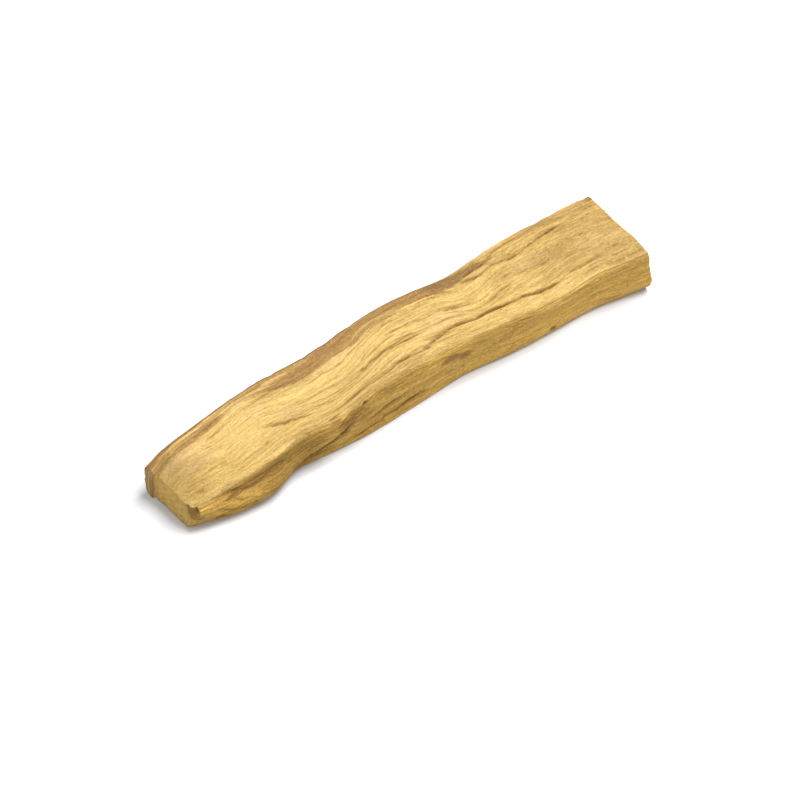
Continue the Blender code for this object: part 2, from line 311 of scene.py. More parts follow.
# Lumps of each split face, or hollows where the height is below 0: x, share across, height, half length
# and half width.
LUMPS = {
    "top": (
        (-50.5, 0.28, -0.95, 3.0, 2.6), (-50.5, 0.62, -0.60, 3.0, 2.4), (50.0, 0.45, -0.40, 5.0, 4.0),
        (-3.0, 0.78, 0.45, 8.0, 1.3), (24.0, 0.08, 0.45, 9.0, 1.0), (30.0, 0.36, 0.35, 9.0, 1.2),
    ),
    "front": (
        (-36.5, 0.33, -0.45, 5.5, 1.1), (-37.0, 0.74, 0.80, 7.5, 1.6), (-16.5, 0.20, 0.35, 5.0, 1.6),
        (50.0, 0.78, 0.15, 2.5, 1.4),
    ),
    "back": (
        (-28.0, 0.25, 0.60, 9.0, 2.0), (24.0, 0.70, 0.50, 10.0, 2.0),
    ),
}

# Small pits of each face, darkened by painted shade: x, share across, depth, half length along the grain
# and half width.
PITS = {
    "top": (
        (2.2, 0.885, 0.34, 0.80, 0.24), (3.1, 0.855, 0.30, 0.60, 0.22), (-9.5, 0.685, 0.35, 0.60, 0.20),
        (-45.4, 0.837, 0.30, 0.70, 0.28), (-31.6, 0.786, 0.30, 0.40, 0.25), (43.7, 0.88, 0.25, 0.60, 0.20),
        (30.2, 0.496, 0.20, 0.90, 0.20), (32.2, 0.535, 0.20, 0.80, 0.22), (-38.2, 0.145, 0.30, 0.80, 0.30),
    ),
    "front": (
        (-48.3, 0.20, 0.70, 0.45, 0.80), (-12.7, 0.14, 0.60, 0.50, 0.42), (-44.0, 0.80, 0.80, 0.80, 0.60),
        (-37.7, 0.74, 0.40, 0.70, 0.50), (27.8, 0.84, 0.60, 0.45, 0.70), (28.6, 0.98, 0.50, 0.60, 0.50),
        (13.7, 0.46, 0.20, 0.25, 0.50), (21.0, 0.317, 0.20, 0.40, 0.25), (8.8, 0.72, 0.30, 0.35, 0.70),
    ),
    "back": (
        (10.0, 0.50, 0.50, 0.80, 0.40), (-34.0, 0.45, 0.40, 0.60, 0.35),
    ),
}

# A pit's rim is rough, and it reaches this many times its half sizes.
PIT_ROUGH = 0.25
PIT_GRAIN = 0.4
PIT_REACH = 1.7

# Corners broken off at the ends: which end, share across, share up, how deep and how wide.
CHIPS = (
    ("thin", 1.0, 0.76, 1.30, 0.92),
    ("thin", 0.90, 0.90, 0.50, 0.50),
    ("thin", 0.0, 0.0, 0.10, 0.5),
    ("thick", 1.0, 0.66, 0.16, 0.4),
    ("thick", 1.0, 0.40, 0.14, 0.4),
    ("thick", 1.0, 0.0, 0.30, 0.8),
    ("thick", 0.12, 1.0, 0.10, 0.5),
    ("thick", 0.0, 0.4, 0.35, 0.8),
)

# How far back along the stick a chip reaches, and how rough its rim is.
CHIP_REACH = 1.6
CHIP_GRAIN = 0.7
CHIP_ROUGH = 0.20

# Wood that is broken back by this much, in mm, shows nothing of the saw cut.
SAW_CUT_LOST = 0.15

# The saw's own marks on the ends, in mm: how far apart, how long and how deep. They slant a little, and
# the cut is finely rough between them.
SAW_PITCH = 0.75
SAW_LENGTH = 9.0
SAW_DEPTH = 0.035
SAW_SLANT = 0.25
SAW_GRAIN = 0.22

# Edges that fold by more than this angle stay crisp.
SHARP_FROM = math.radians(36)

# Share of the top face that the brown heartwood covers, and how strong it is, along the stick.
HEARTWOOD_EDGE = (
    (-50, 0.25), (-40, 0.20), (-32, 0.18), (-26, 0.27), (-22, 0.30), (-16, 0.30), (-8, 0.29), (-4, 0.23),
    (2, 0.19), (10, 0.20), (14, 0.20), (18, 0.20), (20, 0.14), (26, 0.10), (34, 0.08), (50, 0.07),
)
HEARTWOOD_STRENGTH = (
    (-50, 0.44), (-40, 0.54), (-33, 0.58), (-28, 0.70), (-22, 0.95), (-12, 1.0), (4, 1.0), (12, 1.0),
    (17, 0.48), (22, 0.38), (32, 0.42), (50, 0.45),
)

# The heartwood's edge is frayed along the fibres: the length and width of its two frays, and how far they
# reach. On the top face the edge is soft over this share, with the fray this many times as wide. On the
# back face it starts at this share of the height and is full this much higher, with its own fray.
FRAYS = ((16.0, 1.4), (6.0, 0.5))
HEARTWOOD_FRAY = 0.07
TOP_SOFT = 0.16
TOP_FRAY = 1.6
BACK_START = -0.3
BACK_SOFT = 0.8
BACK_FRAY = 2

# The brown of broken wood at the ends, and of the strip that stands this proud of the saw cut. Broken wood
# gets this much painted shade where it is this deep.
BROKEN_BROWN = 0.15
STRIP_BROWN = 0.44
STRIP_FULL = 0.3
BROKEN_SHADE = 0.85
BROKEN_DEEP = 0.6

# The steep faces take on their painted shade over this distance below the top.
FLANK_SOFT = 0.8

# Tints by kind and face: x, share across, half length, half width and strength. The deep ones are painted
# shade.
TINTS = {
    "brown": {
        "top": (
            # The long brown at the back arris is partly heartwood and partly painted shade along that edge.
            (-21.0, 0.245, 4.0, 0.9, 0.45), (-12.5, 0.16, 5.0, 1.0, 0.40), (-25.0, 0.0, 40.0, 0.35, 0.90),
            (12.0, 0.15, 7.0, 0.8, 0.50), (15.0, 0.15, 3.5, 0.7, 0.85), (20.5, 0.15, 4.5, 0.5, 0.85),
            (2.6, 0.875, 1.3, 0.45, 0.55), (5.0, 0.80, 2.6, 0.7, 0.45), (-38.0, 0.15, 5.0, 0.8, 0.20),
            (-42.0, 0.33, 4.5, 1.1, 0.28), (-48.5, 0.10, 3.5, 2.2, 0.12), (-41.0, 0.985, 2.0, 0.7, 0.55),
            (-19.2, 0.99, 1.4, 0.25, 0.60), (31.0, 0.50, 2.0, 0.5, 0.30), (32.2, 0.535, 1.2, 0.4, 0.35),
            (47.0, 0.17, 1.2, 0.8, 0.30), (48.8, 0.02, 0.8, 0.8, 0.60),
        ),
        "back": (
            (-25.0, 0.97, 40.0, 0.8, 0.95), (-6.0, 0.50, 14.0, 2.0, 0.40),
        ),
        "front": (
            (-16.4, 0.27, 2.1, 0.9, 0.95), (-14.4, 0.17, 1.9, 0.8, 0.95), (-12.8, 0.24, 1.2, 0.8, 0.60),
            (-14.0, 0.36, 3.6, 0.7, 0.55), (-9.5, 0.54, 3.5, 0.3, 0.35), (-25.5, 0.73, 2.4, 0.50, 0.80),
            (-22.0, 0.65, 2.4, 0.50, 0.85), (-18.5, 0.50, 2.2, 0.50, 0.85), (-19.2, 0.07, 1.6, 0.3, 0.70),
            (-28.3, 0.62, 1.6, 1.3, 0.40), (6.2, 0.30, 2.8, 0.9, 0.95), (8.8, 0.36, 1.7, 1.3, 0.95),
            (4.4, 0.50, 3.0, 0.7, 0.30), (-41.0, 0.02, 3.0, 0.7, 0.35), (-38.0, 0.25, 4.6, 1.3, 0.62),
            (-33.0, 0.30, 3.5, 0.6, 0.45), (-48.3, 0.15, 1.0, 1.2, 0.95), (-47.6, 0.45, 0.9, 1.2, 0.60),
            (-44.0, 0.80, 1.4, 0.7, 0.90), (28.0, 0.86, 0.7, 0.7, 0.80),
        ),
        "under": (
            (-20.0, 0.60, 14.0, 2.2, 0.45),
        ),
    },
    "peach": {
        "top": (
            (8.0, 0.60, 6.0, 1.6, 0.95), (-10.0, 0.37, 6.5, 0.9, 0.80), (-24.5, 0.65, 3.0, 1.0, 0.80),
            (-31.0, 0.34, 6.0, 1.2, 0.60), (-43.0, 0.48, 5.0, 1.3, 0.55), (-22.5, 0.12, 3.6, 0.6, 0.80),
            (-17.5, 0.07, 3.0, 0.5, 0.60), (-31.0, 0.13, 4.0, 0.7, 0.50), (-45.0, 0.30, 6.0, 1.5, 0.85),
            (2.0, 0.04, 4.0, 0.5, 0.60), (21.0, 0.205, 2.2, 0.35, 0.90), (19.5, 0.03, 5.5, 0.50, 0.60),
            (30.0, 0.42, 5.0, 1.5, 0.45), (44.0, 0.62, 5.0, 2.5, 0.40),
        ),
        "front": (
            (-45.0, 0.30, 2.5, 1.3, 0.60), (6.0, 0.64, 2.5, 0.8, 0.60), (-0.5, 0.88, 2.0, 0.6, 0.80),
            (26.6, 0.78, 0.6, 0.8, 0.90),
        ),
    },
    "pale": {
        "top": (
            (-8.0, 0.55, 18.0, 4.8, 1.0), (-32.0, 0.60, 7.0, 3.5, 0.40), (14.0, 0.35, 9.0, 1.6, 0.60),
        ),
        "front": (
            (2.0, 0.05, 11.0, 1.2, 0.60), (36.0, 0.50, 15.0, 4.5, 0.80),
        ),
    },
    # Painted shade, multiplied in: along the back arris, on the front face and at both ends of the top.
    "deep": {
        "top": (
            (50.0, 0.50, 25.0, 10.0, 0.48), (-48.0, 0.50, 6.0, 8.0, 0.65), (15.5, 0.10, 5.5, 1.5, 0.70),
            (-14.0, 0.0, 36.0, 0.42, 1.0),
        ),
        "back": (
            (-14.0, 1.0, 36.0, 0.80, 1.0),
        ),
        "front": (
            (-5.0, 0.26, 5.5, 1.6, 0.55), (-29.0, 0.50, 9.0, 5.0, 0.95), (-10.0, 0.50, 13.0, 5.0, 0.28),
            (-40.0, 0.85, 8.0, 2.0, 0.55), (-42.0, 0.50, 8.0, 3.0, 0.50),
        ),
    },
}

# A tint reaches this many times its half sizes, fades over this share of them, and ends at this many half
# lengths. The heartwood's fray moves its edge this many times as far.
TINT_REACH = 1.35
TINT_SOFT = 0.9
TINT_END = 1.6
TINT_FRAY = 5

# The attributes that the mesh carries for the finish, each from 0 to 1. Three of them carry painted
# shade: the darkening of the hollows, the tint of the steep faces and the deep tint.
MASKS = ("hollow_shade", "heartwood", "peach", "pale", "deep", "sawn", "flank_shade")

# The patterns in the wood: the kind, the length of a mark along the grain and its width across it in mm,
# and how detailed, thick or large the marks are.
PATTERNS = {
    "broad": ("streaks", 30.0, 3.0, 3.0),
    "medium": ("streaks", 20.0, 0.65, 4.0),
    "fine": ("streaks", 1.9, 0.20, 4.0),
    "strand": ("streaks", 9.0, 0.40, 3.0),
    "grit": ("streaks", 0.55, 0.24, 3.0),
    "blotch": ("streaks", 6.0, 0.95, 3.0),
    "line": ("lines", 12.0, 1.0, 0.10),
    "hair": ("lines", 5.0, 0.50, 0.16),
    "pore": ("pores", 2.2, 0.36, 0.40),
    "fleck": ("pores", 1.3, 0.30, 0.34),
}
SAWN_PATTERNS = {
    "patch": ("streaks", 2.2, 1.6, 5.0),
    "vessel": ("pores", 0.4, 0.4, 0.42),
}
MEASURE = {"streaks": "Detail", "lines": "Thickness", "pores": "Size"}
RING_PITCH = 1.2
RING_WOBBLE = 2.6
RING_CENTRE = (-18.0, -26.0)

# The layers of colour, from the lowest up: the pattern or attribute, the value of it where the layer
# starts and where it is full, its share there, and its tint. A layer from 0 to 1 follows its pattern as it
# is.
SAPWOOD_LAYERS = (
    ("medium", 0.65, 0.05, 0.50, "deep"),
    ("fine", 0.55, 0.05, 0.38, "deep"),
    ("fine", 0.60, 1.0, 0.30, "pale"),
    ("peach", 0, 1, 0.85, "peach"),
    ("line", 0, 1, 0.34, "dark_grain_and_shade"),
    ("hair", 0, 1, 0.36, "deep"),
    ("pore", 0, 1, 0.20, "pore"),
    ("fleck", 0, 1, 0.35, "peach"),
    ("blotch", 0.45, 0.05, 0.34, "deep"),
    ("blotch", 0.50, 0.95, 0.60, "pale"),
    ("grit", 0.48, 0.0, 0.62, "deep"),
    ("grit", 0.52, 1.0, 0.75, "pale"),
    ("pale", 0, 1, 0.30, "pale"),
)
HEARTWOOD_LAYERS = (
    ("strand", 0.25, 0.80, 1.0, "heartwood_light"),
    ("blotch", 0.45, 0.0, 0.60, "dark_grain_and_shade"),
    ("fine", 0.55, 0.05, 0.70, "dark_grain_and_shade"),
    ("grit", 0.46, 0.0, 0.85, "dark_grain_and_shade"),
    ("grit", 0.56, 1.0, 0.46, "gold"),
)
SAWN_LAYERS = (
    ("patch", 0.70, 0.10, 0.46, "deep"),
    ("ring", 0, 1, 0.28, "deep"),
    ("vessel", 0, 1, 0.42, "pore"),
    ("heartwood", 0, 1, 0.50, "heartwood"),
)

# These dark layers are fainter towards the smoother thin end: where along the stick they are faintest and
# full, and the share that is left.
FADING = (("fine", "deep"), ("line", "dark_grain_and_shade"), ("hair", "deep"))
SMOOTHER_END = (-46.0, -18.0)
FAINTEST = 0.30

# How strongly the broad streaks show pale, the strands fray the heartwood's edge, and the peach tint takes
# the heartwood away.
BROAD_PALE = 0.8
STRAND_FRAY = 0.9
PEACH_CLEARS = 0.6

# The values of the frayed heartwood, and of its own attribute, from which it starts to show and is full.
HEARTWOOD_SPAN = (0.15, 0.85)
HEARTWOOD_SHOWS = (0.0, 0.30)

# The dark specks of the steep faces, and the painted shade of the hollows: where each starts and is full,
# and its share.
FLANK_SPECKS = (0.50, 0.0, 0.55)
HOLLOW_SHADE = (0.10, 0.80, 0.74)

# How much rougher the fine streaks and the sawn ends are than the rest.
FINE_ROUGHNESS = 0.12
SAWN_ROUGHNESS = 0.1

# The fine relief of the fibres, as shares of the fuzz: wider streaks, grit, and dashes that are sunk.
STREAK_HEIGHT = 0.8
GRIT_HEIGHT = 1.2
DASH_DEPTH = 0.9
FUZZ_STRENGTH = 0.8

# The stage: the floor's half side, colour and roughness, and where the soft light hangs and how wide it is.
FLOOR_SIZE = 1.5
FLOOR_COLOUR = (0.770, 0.785, 0.805, 1.0)
FLOOR_ROUGHNESS = 0.7
LIGHT_PLACE = Vector((1.60, 0.20, 2.55))
LIGHT_SIZE = 1.7


def line_at(points, x):
    """The smooth curve through (x, value) points, read at x and held level past its ends."""
    if x <= points[0][0]:
        return points[0][1]
    if x >= points[-1][0]:
        return points[-1][1]
    i = 0
    while points[i + 1][0] <= x:
        i += 1
    (x0, low), (x1, high) = points[i], points[i + 1]
    before, after = points[max(i - 1, 0)], points[min(i + 2, len(points) - 1)]
    slope_in = (high - before[1]) / (x1 - before[0])
    slope_out = (after[1] - low) / (after[0] - x0)
    span = x1 - x0
    t = (x - x0) / span
    rise = t * t * (3 - 2 * t)
    return (
        low * (1 - rise)
        + high * rise
        + slope_in * span * t * (1 - t) ** 2
        - slope_out * span * t * t * (1 - t)
    )


def bump(distance, reach):
    """1 at no distance, falling smoothly to 0 at the reach."""
    near = max(0.0, 1 - (distance / reach) ** 2)
    return near * near


def smooth(share):
    """0 to 1 as the share goes from 0 to 1, level at both ends."""
    share = min(1.0, max(0.0, share))
    return share * share * (3 - 2 * share)


def arrises(x):
    """The four corners of the section at x, as (y, z)."""
    return {
        "heel": Vector((line_at(HEEL, x), 0.0)),
        "foot": Vector((line_at(FOOT, x), 0.0)),
        "front": Vector((line_at(FRONT_EDGE, x), line_at(FRONT_HEIGHT, x))),
        "back": Vector((line_at(BACK_EDGE, x), line_at(BACK_HEIGHT, x))),
    }


def fibre_place(side, x, share):
    """A place in the fibres' own measure, where each runs straight along X.

    The way round the section is bent into a closed ring, so that the pattern has no seam.
    """
    across = GIRTH_START[side] + GIRTH_WIDTH[side] * share
    wander = sum(far * noise.noise((x / length, across / width, 0.5)) for length, width, far in WANDER)
    wave = (line_at(GRAIN_WAVE[side], x) + wander) * 4 * share * (1 - share)
    radius = GIRTH / math.tau
    angle = (across - wave) / radius
    return Vector((x, radius * math.cos(angle), radius * math.sin(angle)))


def fibre_noise(place, length, width, offset=0.0):
    """Noise drawn out along the grain, from about -1 to 1."""
    return noise.noise((place.x / length + offset, place.y / width, place.z / width))


def ledge_relief(place):
    """Height of the layers that tore off, which leave steep ledges along the grain."""
    length, width, share = LEDGE_FRAY
    frayed = share * fibre_noise(place, length, width, 3.1)
    level = LEDGES * (fibre_noise(place, LEDGE_LENGTH, LEDGE_WIDTH, 7.3) + frayed)
    layer = math.floor(level)
    return LEDGE_HEIGHT * (layer + smooth((level - layer) / LEDGE_SLOPE))


def sliver_relief(place):
    """Height of the slivers, each of which rises along the grain and then breaks off."""
    length, width, far = SLIVER_BEND
    way_round = (math.atan2(place.z, place.y) / math.tau) * GIRTH
    way_round += far * fibre_noise(place, length, width, 11.7)
    lane = math.floor(way_round / SLIVER_LANE)
    start = noise.cell(Vector((lane * 1.7, 5.5, 0.5)))
    along = place.x / SLIVER_LENGTH + start * 3.0
    sliver = math.floor(along)
    size = noise.cell(Vector((lane * 1.7, sliver * 2.3, 9.5)))
    across = way_round / SLIVER_LANE - lane
    return SLIVER_HEIGHT * size * (along - sliver) ** 2 * bump(across - 0.5, 0.5)


def torn_relief(place):
    """Height of the torn fibres, in millimetres, and how much of it is groove, which gets painted shade."""
    height = 0.0
    groove = 0.0
    for length, width, rise in SWELLS:
        height += rise * fibre_noise(place, length, width)
    for length, width, rise in STRANDS:
        strand = min(1.0, STRAND_RISE * abs(fibre_noise(place, length, width, width)))
        height += rise * (math.sqrt(strand) - STRAND_LEVEL) / 2
        groove += rise * (1 - strand) ** 3
    return height + ledge_relief(place) + sliver_relief(place), groove


def split_relief(side, x, share, width):
    """Height beside the splits of this face and how deep they cut, at a share of the way across."""
    height = 0.0
    deepest = 0.0
    (long_rag, far), (short_rag, near) = SPLIT_RAGGED
    (long_change, much), (short_change, little) = SPLIT_UNEVEN
    for depth, half_width, step, path in SPLITS[side]:
        start, end = path[0][0], path[-1][0]
        if not start < x < end:
            continue
        ragged = far * noise.noise((x / long_rag, depth, 0.5))
        ragged += near * noise.noise((x / short_rag, depth, 2.5))
        off = (share - line_at(path, x)) * width + ragged
        if abs(off) > SPLIT_CREST:
            continue
        uneven = much * noise.noise((x / long_change, depth, 4.5))
        uneven += little * noise.noise((x / short_change, step, 6.5))
        taper = min(SPLIT_TAPER, SHORT_TAPER * (end - start))
        inside = min(x - start, end - x) + SPLIT_LEAD
        open_here = smooth(inside / taper) * (SPLIT_OPEN + uneven)
        shoulder = SPLIT_SHOULDER * bump(off, SHOULDER_WIDTH * half_width)
        crack = SPLIT_CRACK * max(0.0, 1 - abs(off) / half_width)
        deepest = max(deepest, depth * open_here * (shoulder + crack))
        if off < 0:
            height += step * open_here * (1 + off / SPLIT_CREST) ** 2
    return height, deepest


def lump_relief(side, x, share, width):
    """How far the lumps of this face stand out."""
    rise = 0.0
    for middle, across, height, half_length, half_width in LUMPS.get(side, ()):
        off = abs(share - across) * width
        rise += height * bump(x - middle, 2 * half_length) * bump(off, 2 * half_width)
    return rise


def pit_relief(side, x, share, width):
    """How deep the pits of this face are."""
    deepest = 0.0
    for middle, across, depth, half_length, half_width in PITS.get(side, ()):
        if abs(x - middle) < 3 * half_length:
            off = (share - across) * width
            away = math.hypot((x - middle) / half_length, off / half_width)
            away += PIT_ROUGH * noise.noise((x / PIT_GRAIN, off / PIT_GRAIN, depth))
            deepest = max(deepest, depth * bump(away, PIT_REACH))
    return deepest


@functools.lru_cache(maxsize=200000)
def relief(side, x, share, width):
    """How far the split face stands out of its smooth form, in millimetres, and how much painted shade its
    hollows get.

    It fades at the arrises, which are drawn in. The underside only has hollows, so that its high
    places lie flat.
    """
    arris = SIDES[side][0 if share < 0.5 else 1]
    rounding = line_at(ARRIS_ROUND[arris], x)
    eased = min(1.0, min(share, 1 - share) * width / rounding)
    nicked = NICK_STEEPNESS * noise.noise((x / NICK_LENGTH, len(arris), rounding)) - NICK_GAP
    nick = NICK_DEPTH * (1 - eased) * smooth(nicked)
    torn, groove = torn_relief(fibre_place(side, x, share))
    rough = line_at(TORN_ALONG, x) if side == "top" else 1.0
    beside, split = split_relief(side, x, share, width)
    cut = max(split, pit_relief(side, x, share, width))
    swell = CROWN[side] * 4 * share * (1 - share) + lump_relief(side, x, share, width) + beside
    if side == "under":
        raised = min(0.0, torn - UNDERSIDE_LEVEL)
        swell = 0.0
    else:
        raised = rough * torn * (ARRIS_RELIEF + (1 - ARRIS_RELIEF) * eased)
    height = raised + (swell - cut) * eased - ARRIS_DRAWN_IN * rounding * (1 - eased) ** 2 - nick
    return height, rough * groove + cut


def section_point(x, across, up):
    """(y, z) of a point of the section at x, and how much painted shade the surface's hollows get there.

    The shares run across (0 at the back) and up. The four arrises are joined by straight sides. Each
    side's relief fades inwards over a quarter of the section, which carries it onto the sawn ends.
    """
    corner = arrises(x)
    low = corner["heel"].lerp(corner["foot"], across)
    high = corner["back"].lerp(corner["front"], across)
    point = low.lerp(high, up)
    places = {
        "top": (across, up),
        "front": (1 - up, across),
        "under": (1 - across, 1 - up),
        "back": (up, 1 - across),
    }
    hollow_shade = 0.0
    for side, (share, nearness) in places.items():
        fade = 1 - 4 * (1 - nearness)
        if fade > 0:
            first, last = SIDES[side]
            width = (corner[last] - corner[first]).length
            height, hollow_here = relief(side, x, share, width)
            point += Vector(OUTWARD[side]) * height * fade
            if nearness == 1:
                hollow_shade = max(hollow_shade, hollow_here)
    return point, hollow_shade


@functools.lru_cache(maxsize=None)
def end_place(end, across, up):
    """Where the sawn end lies at shares across and up, how far it is broken back, and how much is sawn."""
    middle, slant = (THIN_END, THIN_END_SLANT) if end == "thin" else (THICK_END, THICK_END_SLANT)
    point = section_point(middle, across, up)[0]
    corner = arrises(middle)
    broken = 0.0
    for face, chip_across, chip_up, deep, wide in CHIPS:
        if face == end:
            low = corner["heel"].lerp(corner["foot"], chip_across)
            centre = low.lerp(corner["back"].lerp(corner["front"], chip_across), chip_up)
            rough = noise.noise((point.x / CHIP_GRAIN, point.y / CHIP_GRAIN, deep))
            away = (point - centre).length * (1 + CHIP_ROUGH * rough)
            broken = max(broken, deep * bump(away, 2 * wide))
    torn = 0.0
    strip = 0.0
    if end == "thin":
        edge = TORN_STRIP + STRIP_WAVER * noise.noise((up * 3.1, 0.5, 1.5))
        torn = smooth((edge - across) / TORN_STEP)
        strip = TORN_STRIP_PROUD * (torn - bump(across - edge - TORN_STEP / 2, TORN_STEP) / 2)
        strip += torn * SPLINTERS * noise.noise((across * 24, up * 4, 2.5))
    slanted = point.x + SAW_SLANT * point.y
    saw = SAW_DEPTH * noise.noise((slanted / SAW_PITCH, point.y / SAW_LENGTH, 3.5))
    saw += SAW_DEPTH / 2 * noise.noise((point.x / SAW_GRAIN, point.y / SAW_GRAIN, 8.5))
    return middle + slant.dot(point), broken - strip + saw, (1 - torn) * (1 - smooth(broken / SAW_CUT_LOST))


def wood_point(u, across, up):
    """A point of the stick in metres, from its shares along, across and up, and how much painted shade its
    hollows get.
    """
    thin, thin_back, _ = end_place("thin", across, up)
    thick, thick_back, _ = end_place("thick", across, up)
    x = thin + (thick - thin) * u
    point, hollow_shade = section_point(x, across, up)
    x += thin_back * bump(x - thin, CHIP_REACH) - thick_back * bump(thick - x, CHIP_REACH)
    return Vector((x, point.x, point.y)) * MM, hollow_shade


def face_of(across, up):
    """The face that a point of the section lies on, or the top one inside it, and its share across that."""
    if up == 1:
        return "top", across
    if across == 1:
        return "front", 1 - up
    if up == 0:
        return "under", 1 - across
    if across == 0:
        return "back", up
    return "top", across


def tint_at(kind, side, x, share, fray):
    """How much of a tint there is, from 0 to 1."""
    most = 0.0
    for middle, across, half_length, half_width, strength in TINTS[kind].get(side, ()):
        if abs(x - middle) < TINT_END * half_length:
            away = math.hypot((x - middle) / half_length, (share - across) * GIRTH_WIDTH[side] / half_width)
            most = max(most, strength * smooth((TINT_REACH + TINT_FRAY * fray - away) / TINT_SOFT))
    return most


def heartwood_at(side, x, share, fray):
    """How much of the wood is brown heartwood, from 0 to 1."""
    if side == "top":
        cover = smooth((line_at(HEARTWOOD_EDGE, x) + TOP_FRAY * fray - share) / TOP_SOFT + 0.5)
    elif side == "back":
        cover = smooth((share + BACK_FRAY * fray - BACK_START) / BACK_SOFT)
    else:
        cover = 0.0
    return min(1.0, cover * line_at(HEARTWOOD_STRENGTH, x) + tint_at("brown", side, x, share, fray))


def cut_edges(bm, direction, pieces):
    """Cuts every edge that runs along this direction of the blank into equal pieces."""
    edges = [e for e in bm.edges if abs((e.verts[1].co - e.verts[0].co).normalized().dot(direction)) > 0.9]
    bmesh.ops.subdivide_edges(bm, edges=edges, cuts=pieces - 1, use_grid_fill=True)


def seat_in_box(bm, low, high):
    """Moves and fits the mesh into a box, given by its low and high corners."""
    made_low = Vector(min(v.co[i] for v in bm.verts) for i in range(3))
    made_high = Vector(max(v.co[i] for v in bm.verts) for i in range(3))
    bmesh.ops.translate(bm, verts=bm.verts, vec=-made_low)
    fit = Vector((high[i] - low[i]) / (made_high[i] - made_low[i]) for i in range(3))
    bmesh.ops.scale(bm, verts=bm.verts, vec=fit)
    bmesh.ops.translate(bm, verts=bm.verts, vec=low)


def shape_wood(bm):
    """Moves the points of the gridded unit block to the wood's form, and notes what the finish needs."""
    fibre = bm.verts.layers.float_vector.new("fibre")
    layers = {name: bm.verts.layers.float.new(name) for name in MASKS}
    for vertex in bm.verts:
        u = round(vertex.co.x + 0.5, 6)
        across = round(0.5 - vertex.co.y, 6)
        up = round(vertex.co.z + 0.5, 6)
        side, share = face_of(across, up)
        vertex.co, vertex[layers["hollow_shade"]] = wood_point(u, across, up)
        x = vertex.co.x / MM
        place = fibre_place(side, x, share)
        fray = fibre_noise(place, *FRAYS[0], 21.3) + 0.5 * fibre_noise(place, *FRAYS[1], 4.7)
        fray *= HEARTWOOD_FRAY
        vertex[fibre] = place
        vertex[layers["heartwood"]] = heartwood_at(side, x, share, fray)
        for kind in ("peach", "pale", "deep"):
            vertex[layers[kind]] = tint_at(kind, side, x, share, fray)
        if 0 < across < 1 and 0 < up < 1:
            _, back, sawn = end_place("thin" if u == 0 else "thick", across, up)
            vertex[layers["sawn"]] = sawn
            vertex[layers["heartwood"]] = BROKEN_BROWN * (1 - sawn) + STRIP_BROWN * smooth(-back / STRIP_FULL)
            # Painted shade in the broken-back recesses of the ends, darker the deeper they go.
            vertex[layers["hollow_shade"]] = BROKEN_SHADE * smooth(back / BROKEN_DEEP)
        width = GIRTH_WIDTH[side]
        off_top = {"top": 0.0, "front": share * width, "back": (1 - share) * width, "under": width}[side]
        # Painted shade: the steep faces below the top are made darker and more saturated than it.
        vertex[layers["flank_shade"]] = smooth(off_top / FLANK_SOFT)


def stick_mesh(sizes):
    """The closed mesh of the torn and sawn stick."""
    bm = bmesh.new()
    bmesh.ops.create_cube(bm, size=1.0)
    cut_edges(bm, Vector((1, 0, 0)), sizes.along)
    cut_edges(bm, Vector((0, 1, 0)), sizes.across)
    cut_edges(bm, Vector((0, 0, 1)), sizes.up)
    shape_wood(bm)
    seat_in_box(bm, CAD_LOW - Vector((TOE * MM, 0.0, 0.0)), CAD_HIGH)
    bmesh.ops.recalc_face_normals(bm, faces=bm.faces)
    for face in bm.faces:
        face.smooth = True
    for edge in bm.edges:
        edge.smooth = edge.calc_face_angle(0.0) < SHARP_FROM
    mesh = bpy.data.meshes.new("split_wood")
    bm.to_mesh(mesh)
    bm.free()
    return mesh


def add(tree, kind, sockets=None, **settings):
    """A new shader node with its settings, and its sockets set to values or linked to other sockets."""
    made = tree.nodes.new(kind)
    for name, value in settings.items():
        setattr(made, name, value)
    for name, value in (sockets or {}).items():
        if isinstance(value, bpy.types.NodeSocket):
            tree.links.new(value, made.inputs[name])
        else:
            made.inputs[name].default_value = value
    return made


def math_of(tree, operation, first, second=0.0, clamp=False):
    """The output of a Math node."""
    return add(tree, "ShaderNodeMath", {0: first, 1: second}, operation=operation, use_clamp=clamp).outputs[0]


def times(tree, first, second):
    """The product of two values."""
    return math_of(tree, "MULTIPLY", first, second)


def plus(tree, first, second):
    """The sum of two values."""
    return math_of(tree, "ADD", first, second)


def mix_of(tree, share, first, second, blend="MIX"):
    """The output of a colour Mix node."""
    made = add(tree, "ShaderNodeMix", data_type="RGBA", blend_type=blend, clamp_factor=True)
    for index, value in ((0, share), (6, first), (7, second)):
        if isinstance(value, bpy.types.NodeSocket):
            tree.links.new(value, made.inputs[index])
        else:
            made.inputs[index].default_value = value
    return made.outputs[2]


def between(tree, value, low, high, smooth_ends=True):
    """A value mapped from low..high to 0..1, and held there."""
    kind = "SMOOTHSTEP" if smooth_ends else "LINEAR"
    sockets = {"Value": value, "From Min": low, "From Max": high}
    return add(tree, "ShaderNodeMapRange", sockets, interpolation_type=kind).outputs["Result"]


def new_group(name, inputs, output):
    """A shader node group with these float inputs and a Place, and the group's own input and output nodes."""
    tree = bpy.data.node_groups.new(name, "ShaderNodeTree")
    tree.interface.new_socket("Place", in_out="INPUT", socket_type="NodeSocketVector")
    for label, value in inputs.items():
        tree.interface.new_socket(label, in_out="INPUT", socket_type="NodeSocketFloat").default_value = value
    tree.interface.new_socket(output, in_out="OUTPUT", socket_type="NodeSocketFloat")
    return tree, tree.nodes.new("NodeGroupInput"), tree.nodes.new("NodeGroupOutput")


def stretched(tree, source, length, width):
    """A place divided by a length along the grain and a width across it."""
    along = math_of(tree, "DIVIDE", 1.0, length)
    across = math_of(tree, "DIVIDE", 1.0, width)
    by = add(tree, "ShaderNodeCombineXYZ", {"X": along, "Y": across, "Z": across}).outputs[0]
    return add(tree, "ShaderNodeVectorMath", {0: source, 1: by}, operation="MULTIPLY").outputs[0]


